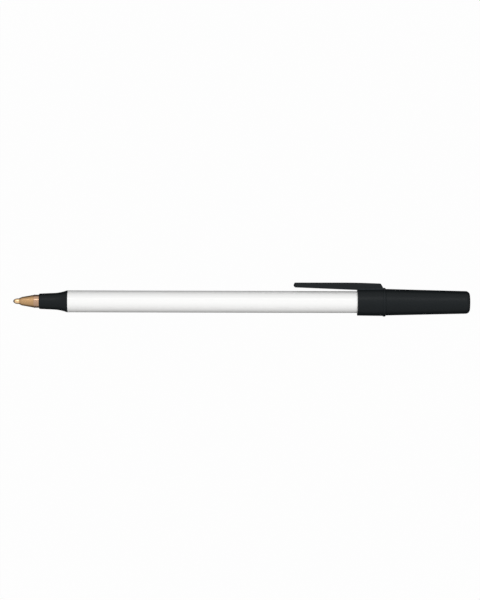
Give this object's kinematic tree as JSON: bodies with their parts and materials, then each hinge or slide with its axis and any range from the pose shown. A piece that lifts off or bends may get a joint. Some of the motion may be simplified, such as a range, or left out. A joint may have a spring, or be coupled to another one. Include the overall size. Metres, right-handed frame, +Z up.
{
  "type": "stick ballpoint pen",
  "caption": "Slim round stick ballpoint pen with a turned brass point, a waisted nose and a pull-off cap with a moulded clip, posted on the tail.",
  "frame": {"origin": "on the ground under the middle of the pen's posted length and of its width with the clip", "axes": "+X along the pen from the point to the cap, +Y across it to the side of the clip, +Z up as it lies on a table"},
  "size_m": [0.1595, 0.0118, 0.01],
  "materials": {
    "carbide": "ground and polished hard metal",
    "brass": "turned, bright",
    "black_polypropylene": "moulded, satin",
    "clear_polypropylene": "extruded, clear",
    "black_ink": "wet",
    "white_polystyrene": "moulded, gloss"
  },
  "bodies": {
    "pen_body": {"barrel": "white_polystyrene", "nose_section": "black_polypropylene", "brass_point": "brass", "ink_tube": "clear_polypropylene", "ink": "black_ink", "end_plug": "black_polypropylene"},
    "ball": {"ball": "carbide"},
    "cap": {"cap": "black_polypropylene"}
  },
  "joints": [
    {"name": "cap_pull", "type": "slide", "parent": "pen_body", "child": "cap", "axis": [1, 0, 0], "range_m": [0, 0.048]},
    {"name": "ball_roll", "type": "hinge", "parent": "pen_body", "child": "ball", "pos_m": [-0.07925, -0.0009, 0.00502], "axis": [0, 1, 0], "continuous": true}
  ]
}
